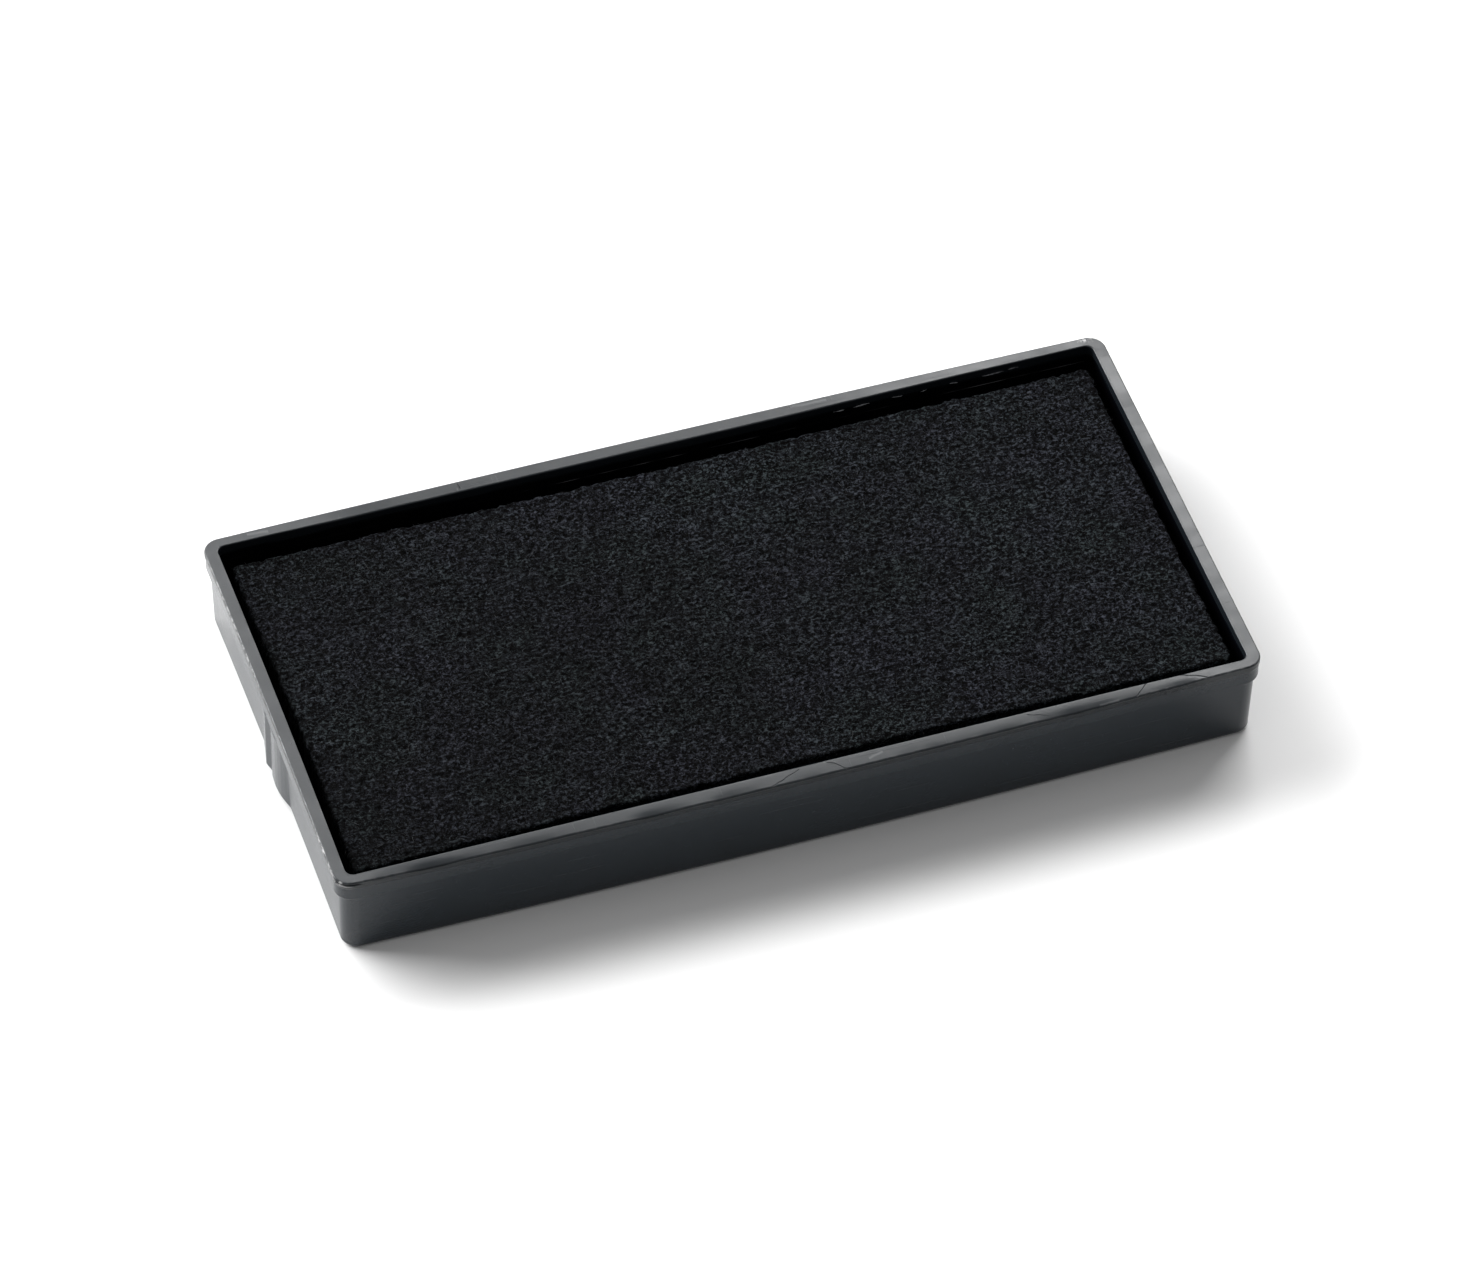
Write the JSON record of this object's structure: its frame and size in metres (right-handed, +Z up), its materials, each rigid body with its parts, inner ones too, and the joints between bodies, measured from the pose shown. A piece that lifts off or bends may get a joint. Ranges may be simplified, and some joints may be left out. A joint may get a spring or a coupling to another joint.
{
  "type": "ink pad cartridge",
  "caption": "Shallow open plastic tray with collared short ends and detent lugs, holding an inked felt block set just below its rim, for a self-inking stamp.",
  "frame": {"origin": "middle of the underside, which is the middle of the box at its lowest height", "axes": "+X along the length, +Z up out of the tray's mouth; the rounded part of the -X lug lies towards -Y"},
  "size_m": [0.08, 0.0408, 0.0085],
  "materials": {
    "tray_plastic": "satin-gloss moulded black plastic, lightly scuffed along the rim",
    "inked_felt": "matted needled felt soaked with black ink, fine specks and soft mottling",
    "adhesive": "matt foam film"
  },
  "bodies": {
    "root": {"tray": "tray_plastic", "felt_pad": "inked_felt", "adhesive_film": "adhesive"}
  },
  "joints": []
}
